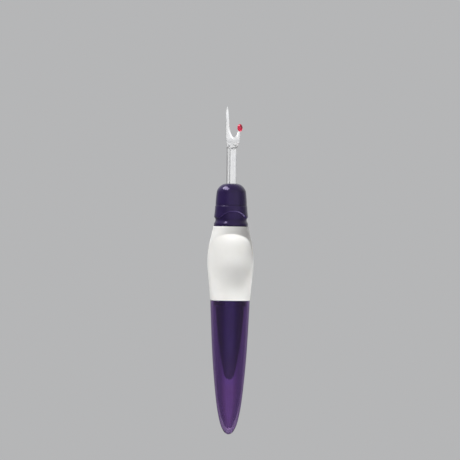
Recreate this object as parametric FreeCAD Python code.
"""Seam ripper with a pull-off point protector cap.

Millimetres. +Z runs up the tool's axis towards the point of the blade, and -Y is the front, the
face with the first finger rest. The origin is on the axis at the front end of the grip, where the
nose collar leaves it. Every piece is built at its place in the assembly.

The tail core carries a long keyed stem. The grip and then the nose collar are pushed onto that
stem, and the blade's tang runs down through the collar into a slot in the stem. The cap is a free
piece, shown on the tail core's seat; it also fits the nose collar's seat to cover the blade.
"""

import FreeCAD, Part
import math
import os

from FreeCAD import Vector as V

# ---------------------------------------------------------------- shared dimensions
GRIP_LENGTH = 36.9
GRIP_REAR_Z = -GRIP_LENGTH
NOSE_TOP = 21.5             # where the blade leaves the nose collar
BLADE_TIP = 60.3

SEAT_R = 8.53               # seats for the cap's mouth, on the collar and on the tail core
CAP_CLEARANCE = 0.07        # between a seat and the cap's bore

STEM_R = 5.40               # stem inside the grip
STEM_FRONT_R = 4.60         # stem inside the nose collar
STEM_FRONT_END = 13.2
STEM_FLAT = 4.00            # distance from the axis to each key flat
FIT = 0.05                  # clearance between the stacked pieces

BLADE_T = 0.80              # sheet thickness
SHANK_W = 5.2               # rolled shank, outside width
SHANK_D = 2.4               # rolled shank, front to back
SHANK_R = 1.15              # outside bend radius
TANG_W = 3.4
TANG_BOTTOM = -4.0

# the fork and tang are cut from the sheet that forms the back of the shank
SHEET_BACK_Y = SHANK_D / 2
SHEET_FRONT_Y = SHEET_BACK_Y - BLADE_T
SHEET_MID_Y = SHANK_D / 2 - BLADE_T / 2

OVERRUN = 1.0               # how far cutters reach past the material
OVERLAP = 0.5               # how far the stem's sections run into the piece behind


# ---------------------------------------------------------------- helpers
def spline(points):
    curve = Part.BSplineCurve()
    curve.interpolate(points)
    return curve.toShape()


def on_radius(points):
    """(r, z) pairs as points in the XZ plane."""
    return [V(r, 0.0, z) for r, z in points]


def profile_spline(points):
    return spline(on_radius(points))


def profile_lines(points):
    corners = on_radius(points)
    return [Part.makeLine(start, end) for start, end in zip(corners, corners[1:])]


def outward(solid):
    """Turn an inside-out solid the right way round."""
    if solid.Volume < 0:
        solid.reverse()
    return solid


def revolve(edges):
    face = Part.Face(Part.Wire(edges))
    return outward(face.revolve(V(0, 0, 0), V(0, 0, 1), 360))


def rounded_rect(width, depth, radius, z):
    """Closed wire of a rectangle with rounded corners, centred on the axis at height z."""
    x, y, r = width / 2, depth / 2, radius
    k = r * (1 - math.sqrt(0.5))    # inset of an arc's middle from the square corner
    arcs = [((x - r, -y), (x - k, -y + k), (x, -y + r)),
            ((x, y - r), (x - k, y - k), (x - r, y)),
            ((-x + r, y), (-x + k, y - k), (-x, y - r)),
            ((-x, -y + r), (-x + k, -y + k), (-x + r, -y))]
    edges = []
    for i, arc in enumerate(arcs):
        start, middle, end = [V(px, py, z) for px, py in arc]
        edges.append(Part.makeLine(V(*arcs[i - 1][2], z), start))
        edges.append(Part.Arc(start, middle, end).toShape())
    return Part.Wire(edges)


def prism(wire, height):
    return Part.Face(wire).extrude(V(0, 0, height))


def polygon_prism(points, along):
    """Extrude the closed polygon through the points."""
    return Part.Face(Part.makePolygon(points + points[:1])).extrude(along)


def keyed_bar(radius, flat, z0, z1):
    """Round bar with two flats, facing +Y and -Y."""
    bar = Part.makeCylinder(radius, z1 - z0, V(0, 0, z0))
    keep = Part.makeBox(4 * radius, 2 * flat, z1 - z0, V(-2 * radius, -flat, z0))
    return bar.common(keep)


def soften_rims(body, radius, heights):
    """Round the level edges at the given heights."""
    rims = [edge for edge in body.Edges
            if edge.BoundBox.ZLength < 1e-4
            and any(abs(edge.BoundBox.ZMin - z) < 1e-4 for z in heights)]
    # guards against a fillet that fails: the rims then stay sharp
    try:
        soft = body.makeFillet(radius, rims)
        if soft.isValid():
            body = soft
    except Exception:
        pass
    return body


def save(shape, name):
    solids = shape.Solids
    assert solids and all(s.isValid() and s.Volume > 0 for s in solids), name
    piece = solids[0] if len(solids) == 1 else Part.makeCompound(solids)
    piece.exportStep("parts/%s.step" % name)


# ---------------------------------------------------------------- grip
GRIP_RIM_R = 0.35

# (radius, z) from the front end to the rear end
GRIP_PROFILE = [
    (8.85, 0.0), (9.18, -1.75), (9.66, -3.75), (10.14, -5.75), (10.58, -7.75),
    (10.95, -9.75), (11.25, -11.75), (11.47, -13.75), (11.58, -15.75), (11.60, -17.75),
    (11.52, -19.75), (11.38, -21.75), (11.20, -23.75), (11.00, -25.75), (10.79, -27.75),
    (10.58, -29.75), (10.37, -31.75), (10.18, -33.75), (10.02, -35.75), (9.94, GRIP_REAR_Z)]

# finger rest: (z, distance of its floor from the axis, its radius across the grip)
REST_STATIONS = [
    (4.0, 12.60, 12.8), (1.0, 11.30, 12.9), (-1.5, 10.38, 13.0), (-3.75, 9.66, 13.2),
    (-5.15, 9.19, 13.3), (-6.75, 8.76, 13.5), (-9.75, 8.32, 14.2), (-14.0, 8.20, 16.2),
    (-18.0, 8.44, 17.6), (-21.75, 8.88, 16.5), (-25.75, 9.40, 14.4), (-28.75, 9.79, 13.3),
    (-32.6, 10.29, 12.7), (-37.0, 10.86, 12.6), (-41.0, 11.38, 12.6)]


def rest_envelope(side):
    """Loft that keeps the grip inside one rest's floor: side +1 for the -Y rest, -1 for +Y."""
    wires = []
    for z, floor, radius in REST_STATIONS:
        circle = Part.Circle(V(0, side * (radius - floor), z), V(0, 0, 1), radius)
        wires.append(Part.Wire(circle.toShape()))
    return Part.makeLoft(wires, True, False)


def make_grip():
    ends = [GRIP_PROFILE[-1], (0, GRIP_REAR_Z), (0, 0), GRIP_PROFILE[0]]
    body = revolve([profile_spline(GRIP_PROFILE)] + profile_lines(ends))
    body = body.common(rest_envelope(+1)).common(rest_envelope(-1))
    body = soften_rims(body, GRIP_RIM_R, (0, GRIP_REAR_Z))
    bore = keyed_bar(STEM_R + FIT, STEM_FLAT + FIT, GRIP_REAR_Z - OVERRUN, OVERRUN)
    return body.cut(bore)


# ---------------------------------------------------------------- nose collar
SEAT_LEN = 1.5
GROOVE_R = 7.84             # snap groove above the seat
GROOVE_Z = 3.25
RIDGE_R = 8.47              # ridge above the groove, just inside the seat's cylinder
RIDGE_Z = 5.2
LEDGE_Z = 10.25             # fine ring ledge

# (radius, z) going up the collar
GROOVE_PROFILE = [
    (SEAT_R, SEAT_LEN), (8.22, 2.20), (7.92, 2.80), (GROOVE_R, GROOVE_Z),
    (7.93, 3.70), (8.27, 4.35), (8.43, 4.80), (RIDGE_R, RIDGE_Z)]
SIDE_PROFILE = [
    (RIDGE_R, RIDGE_Z), (8.24, 7.3), (8.03, LEDGE_Z - 0.12), (7.88, LEDGE_Z + 0.06),
    (7.80, 12.4), (7.62, 14.8), (7.40, 16.9)]
DOME_PROFILE = [
    (7.40, 16.9), (7.28, 17.6), (6.95, 18.45), (6.38, 19.35),
    (5.58, 20.22), (4.58, 20.92), (3.50, 21.33), (2.6, NOSE_TOP)]

ARCH_R = 7.7                # arched relief that runs the groove up into the ridge
ARCH_TURN = 10.0            # degrees the arch is turned from the front face
ARCH_REACH = 12.0           # length of the arch cutter, out from the axis
RELIEF_Z = GROOVE_Z + 0.35  # underside of the relief
RELIEF_H = 7.0
RELIEF_OUTER_R = 10.0       # outside the collar
RELIEF_FLOOR_R = (GROOVE_R + 0.09, GROOVE_R + 0.02)     # at the bottom and the top

LIP_WIRE_R = 0.24           # section radius of the lip over each arch
LIP_RISE = 0.12             # height of the lip's centre line above the arch
LIP_WRAP_R = 8.0            # radius at which the arch is wrapped round the collar
LIP_R = 8.26                # radius of the lip's centre line at the ridge's height
LIP_TAPER = 0.075           # radius lost per mm of height
LIP_ANGLES = (-46, -34, -22, -11, 0, 11, 22, 34, 46)    # degrees either side of the arch's middle


def arch_relief(turn):
    """Arched recess centred at the angle turn (radians from -Y)."""
    out = V(math.sin(turn), -math.cos(turn), 0)
    arch = Part.makeCylinder(ARCH_R, ARCH_REACH, V(0, 0, 0), out)
    ring = Part.makeCylinder(RELIEF_OUTER_R, RELIEF_H, V(0, 0, RELIEF_Z))
    core = Part.makeCone(*RELIEF_FLOOR_R, RELIEF_H, V(0, 0, RELIEF_Z))
    return arch.common(ring.cut(core))


def arch_lip(turn):
    """Fine raised lip that follows an arch: a bent round rod and its two ball ends."""
    points = []
    for degrees in LIP_ANGLES:
        offset = math.radians(degrees)
        z = math.sqrt(ARCH_R ** 2 - (LIP_WRAP_R * math.sin(offset)) ** 2) + LIP_RISE
        r = LIP_R - LIP_TAPER * (z - RIDGE_Z)
        angle = turn + offset
        points.append(V(r * math.sin(angle), -r * math.cos(angle), z))
    path = Part.Wire(spline(points))
    start = (points[1] - points[0]).normalize()
    section = Part.Wire(Part.Circle(points[0], start, LIP_WIRE_R).toShape())
    rod = path.makePipeShell([section], True, False)
    # the sweep may come back as a bare shell
    if rod.ShapeType != "Solid":
        rod = Part.makeSolid(rod.Shells[0])
    return [outward(rod)] + [Part.makeSphere(LIP_WIRE_R, points[i]) for i in (0, -1)]


def make_collar():
    edges = profile_lines([(0, NOSE_TOP), (0, 0), (SEAT_R, 0), (SEAT_R, SEAT_LEN)])
    edges += [profile_spline(GROOVE_PROFILE)] + profile_lines(SIDE_PROFILE)
    edges += [profile_spline(DOME_PROFILE)] + profile_lines([DOME_PROFILE[-1], (0, NOSE_TOP)])
    body = revolve(edges)

    for degrees in (ARCH_TURN, ARCH_TURN + 180):
        turn = math.radians(degrees)
        body = body.cut(arch_relief(turn))
        body = body.fuse(arch_lip(turn))
    body = body.removeSplitter()

    socket = keyed_bar(STEM_FRONT_R + FIT, STEM_FLAT + FIT, -OVERRUN, STEM_FRONT_END + FIT)
    # the shank's slot starts just inside the socket
    outline = rounded_rect(SHANK_W + 2 * FIT, SHANK_D + 2 * FIT, SHANK_R + FIT,
                           STEM_FRONT_END - 0.1)
    slot = prism(outline, NOSE_TOP - STEM_FRONT_END + OVERRUN)
    return body.cut(socket).cut(slot)


# ---------------------------------------------------------------- tail core
TAIL_LENGTH = 39.6          # behind the grip
REAR_SEAT_LEN = 2.3
LEAD_LEN = 1.5              # lead-in cone at the stem's front end
LEAD_OUTER_R = STEM_FRONT_R + 0.8
LEAD_END_R = STEM_FRONT_R - 0.7
TANG_SLOT_BOTTOM = TANG_BOTTOM - 0.3
TANG_SLOT_H = STEM_FRONT_END - TANG_BOTTOM + 2

# (radius, z) from the tail's end forwards
TAIL_PROFILE = [
    (0.0, GRIP_REAR_Z - TAIL_LENGTH), (1.30, -76.15), (2.15, -75.1), (2.95, -72.6),
    (3.75, -68.9), (4.55, -64.7), (5.30, -59.6), (6.00, -53.8), (6.60, -48.0),
    (7.05, -42.8), (7.15, -41.2)]
# straight-sided step from the tail out to the cap's seat
TAIL_STEP = [
    TAIL_PROFILE[-1], (7.15, -40.4), (SEAT_R - 0.3, -39.6),
    (SEAT_R, GRIP_REAR_Z - REAR_SEAT_LEN), (SEAT_R, GRIP_REAR_Z)]


def stem_front():
    """Thinner front section of the stem, with its lead-in cone."""
    bar = keyed_bar(STEM_FRONT_R, STEM_FLAT, -OVERLAP, STEM_FRONT_END)
    lead_z = STEM_FRONT_END - LEAD_LEN
    lead = Part.makeCone(LEAD_OUTER_R, LEAD_END_R, LEAD_LEN, V(0, 0, lead_z))
    below = Part.makeCylinder(LEAD_OUTER_R, lead_z + OVERLAP, V(0, 0, -OVERLAP))
    return bar.common(below.fuse(lead))


def make_tail():
    closing = TAIL_STEP + [(0, GRIP_REAR_Z), TAIL_PROFILE[0]]
    body = revolve([profile_spline(TAIL_PROFILE)] + profile_lines(closing))
    body = body.fuse(keyed_bar(STEM_R, STEM_FLAT, GRIP_REAR_Z - OVERLAP, -FIT))
    body = body.fuse(stem_front()).removeSplitter()
    slot = Part.makeBox(TANG_W + 2 * FIT, BLADE_T + 2 * FIT, TANG_SLOT_H,
                        V(-TANG_W / 2 - FIT, SHEET_FRONT_Y - FIT, TANG_SLOT_BOTTOM))
    return body.cut(slot)


# ---------------------------------------------------------------- cap
CAP_MOUTH_Z = GRIP_REAR_Z - 0.05    # a small gap behind the grip's rear face
CAP_BORE_R = SEAT_R + CAP_CLEARANCE
CAP_RIM_R = 0.25

# (radius, z) from the closed end to the mouth
CAP_OUTER = [
    (0.0, -104.0), (1.55, -103.35), (2.80, -101.85), (3.80, -99.75), (4.95, -95.75),
    (5.75, -91.75), (6.35, -87.75), (7.05, -81.75), (8.00, -71.75), (8.73, -61.75),
    (9.28, -51.75), (9.78, -41.75), (9.90, -39.0), (9.95, CAP_MOUTH_Z)]
# (radius, z) from the closed end to the start of the straight bore
CAP_INNER = [
    (0.0, -101.2), (1.25, -100.6), (2.30, -98.9), (3.55, -95.9), (4.65, -91.9),
    (5.50, -87.4), (6.15, -81.8), (7.00, -71.8), (7.66, -61.8), (8.14, -51.8),
    (8.48, -43.6), (CAP_BORE_R, -40.2)]


def make_cap():
    edges = [profile_spline(CAP_OUTER)]
    edges += profile_lines([CAP_OUTER[-1], (CAP_BORE_R, CAP_MOUTH_Z), CAP_INNER[-1]])
    edges += [profile_spline(CAP_INNER)] + profile_lines([CAP_INNER[0], CAP_OUTER[0]])
    return soften_rims(revolve(edges), CAP_RIM_R, (CAP_MOUTH_Z,))


# ---------------------------------------------------------------- blade
# fork outline, (x, z), clockwise from the lower left as seen from the front
FORK_OUTER_LEFT = [
    (-2.20, 36.6), (-2.50, 38.8), (-2.70, 41.0), (-2.88, 42.8), (-3.02, 45.0),
    (-3.13, 48.2), (-3.20, 52.3), (-3.18, 55.6), (-3.00, 58.2), (-2.50, BLADE_TIP)]
FORK_INNER = [
    (-2.50, BLADE_TIP), (-2.10, 58.4), (-1.80, 56.2), (-1.60, 53.6), (-1.45, 51.2),
    (-1.12, 49.0), (-0.66, 47.1), (-0.02, 45.5), (0.98, 44.62), (1.96, 45.35),
    (2.48, 46.5), (2.80, 47.8), (3.02, 49.2)]
SHORT_END_MIDDLE = (3.60, 49.85)    # top of the short prong's round end
FORK_OUTER_RIGHT = [
    (4.12, 49.4), (4.14, 47.6), (4.02, 45.4), (3.80, 43.2), (3.46, 41.4),
    (3.02, 40.0), (2.62, 38.3), (2.20, 36.6)]

SHANK_BOTTOM = 13.4         # the rolled section starts here, above the flat tang
SHANK_TOP = 44.0            # before the flanges are cut back
SEAM_X = -0.95              # middle of the open seam
SEAM_W = 0.30
SCOOP_R = 1.95              # U-shaped opening of the front below the fork
SCOOP_Z = 41.4
SCOOP_BOX_H = 10.0
SLANT_BACK_Z = 42.9         # slanted ends of the flanges, at the sheet
SLANT_FRONT_Z = 40.3        # and half a millimetre in front of the shank
SLANT_TOP_Z = 50.0
SLANT_HALF_W = 5.0

TANG_OVERLAP = 0.6          # how far the tang runs up into the shank
NOTCH_BOTTOMS = (0.5, 4.5)
NOTCH_DEPTH = 0.55
NOTCH_H = 1.6
NOTCH_PEAK = 0.2            # deepest point, above the notch's bottom

BEVEL_X, BEVEL_Z = 0.98, 46.25
BEVEL_EDGE_R = 1.55         # where the two bevels meet, in the middle of the sheet
BEVEL_FRONT_R = 2.45
BEVEL_BACK_R = 2.05

THIN_START_Z = 54.0         # the long point thins from here up
THIN_END_Z = BLADE_TIP + 0.2
THIN_DEPTH = 0.34           # taken off each face at THIN_END_Z


def on_sheet(points):
    """(x, z) pairs as points on the sheet's front face."""
    return [V(x, SHEET_FRONT_Y, z) for x, z in points]


def make_fork():
    left = spline(on_sheet(FORK_OUTER_LEFT))
    inner = spline(on_sheet(FORK_INNER))
    right = spline(on_sheet(FORK_OUTER_RIGHT))
    short_end = Part.Arc(*on_sheet([FORK_INNER[-1], SHORT_END_MIDDLE,
                                    FORK_OUTER_RIGHT[0]])).toShape()
    base = Part.makeLine(*on_sheet([FORK_OUTER_RIGHT[-1], FORK_OUTER_LEFT[0]]))
    outline = Part.Wire([left, inner, short_end, right, base])
    return Part.Face(outline).extrude(V(0, BLADE_T, 0))


def make_shank():
    """Rolled tube with an open seam along its front."""
    height = SHANK_TOP - SHANK_BOTTOM
    cut_z, cut_h = SHANK_BOTTOM - OVERRUN, height + 2 * OVERRUN
    tube = prism(rounded_rect(SHANK_W, SHANK_D, SHANK_R, SHANK_BOTTOM), height)
    hollow = prism(rounded_rect(SHANK_W - 2 * BLADE_T, SHANK_D - 2 * BLADE_T,
                                SHANK_R - BLADE_T, cut_z), cut_h)
    seam = Part.makeBox(SEAM_W, SHANK_D, cut_h, V(SEAM_X - SEAM_W / 2, -SHANK_D, cut_z))
    tube = tube.cut(hollow).cut(seam)

    # the flanges start in a shallow U below the fork and rise to the sheet at a slant
    scoop_y = SHEET_FRONT_Y - SHANK_D
    scoop = Part.makeCylinder(SCOOP_R, SHANK_D, V(0.0, scoop_y, SCOOP_Z), V(0, 1, 0))
    scoop = scoop.fuse(Part.makeBox(2 * SCOOP_R, SHANK_D, SCOOP_BOX_H,
                                    V(-SCOOP_R, scoop_y, SCOOP_Z)))
    slant = polygon_prism([V(-SLANT_HALF_W, SHEET_FRONT_Y, SLANT_BACK_Z),
                           V(-SLANT_HALF_W, -SHANK_D / 2 - 0.5, SLANT_FRONT_Z),
                           V(-SLANT_HALF_W, -SHANK_D, SLANT_TOP_Z),
                           V(-SLANT_HALF_W, SHEET_FRONT_Y, SLANT_TOP_Z)],
                          V(2 * SLANT_HALF_W, 0, 0))
    return tube.cut(scoop).cut(slant)


def make_tang():
    """Flat tang with two pairs of retaining notches."""
    tang = Part.makeBox(TANG_W, BLADE_T, SHANK_BOTTOM + TANG_OVERLAP - TANG_BOTTOM,
                        V(-TANG_W / 2, SHEET_FRONT_Y, TANG_BOTTOM))
    y = SHEET_FRONT_Y - OVERRUN
    for z in NOTCH_BOTTOMS:
        for side in (-1, 1):
            outside = side * (TANG_W / 2 + 0.1)
            notch = polygon_prism([V(outside, y, z),
                                   V(side * (TANG_W / 2 - NOTCH_DEPTH), y, z + NOTCH_PEAK),
                                   V(outside, y, z + NOTCH_H)], V(0, 3, 0))
            tang = tang.cut(notch)
    return tang


def make_blade():
    blade = make_fork().fuse([make_shank(), make_tang()]).removeSplitter()

    # ground bevels round the cutting edge, one from each face
    for y, front_r, back_r in ((SHEET_FRONT_Y, BEVEL_FRONT_R, BEVEL_EDGE_R),
                               (SHEET_MID_Y, BEVEL_EDGE_R, BEVEL_BACK_R)):
        blade = blade.cut(Part.makeCone(front_r, back_r, BLADE_T / 2,
                                        V(BEVEL_X, y, BEVEL_Z), V(0, 1, 0)))

    # the long point thins towards its tip
    for side, y in ((-1, SHEET_FRONT_Y), (1, SHEET_BACK_Y)):
        outside = y + side * OVERRUN
        wedge = polygon_prism([V(-6, y, THIN_START_Z),
                               V(-6, y - side * THIN_DEPTH, THIN_END_Z),
                               V(-6, outside, THIN_END_Z),
                               V(-6, outside, THIN_START_Z)], V(12, 0, 0))
        blade = blade.cut(wedge)
    return blade


# ---------------------------------------------------------------- bead on the short prong
BEAD_X, BEAD_Z = 3.92, 49.40
BEAD_R = 1.32               # half width, across and front to back
BEAD_HALF_H = 1.90


def make_bead(blade):
    stretch = FreeCAD.Matrix()
    stretch.scale(BEAD_R, BEAD_R, BEAD_HALF_H)
    ball = Part.makeSphere(1.0).transformGeometry(stretch)
    ball.translate(V(BEAD_X, SHEET_MID_Y, BEAD_Z))
    # the prong may split off slivers, so only the largest solid is kept
    return max(ball.cut(blade).Solids, key=lambda solid: solid.Volume)


os.makedirs("parts", exist_ok=True)
blade = make_blade()
save(make_grip(), "grip_body")
save(make_collar(), "nose_collar")
save(make_tail(), "tail_core")
save(make_cap(), "point_cap")
save(blade, "blade")
save(make_bead(blade), "ball_tip")
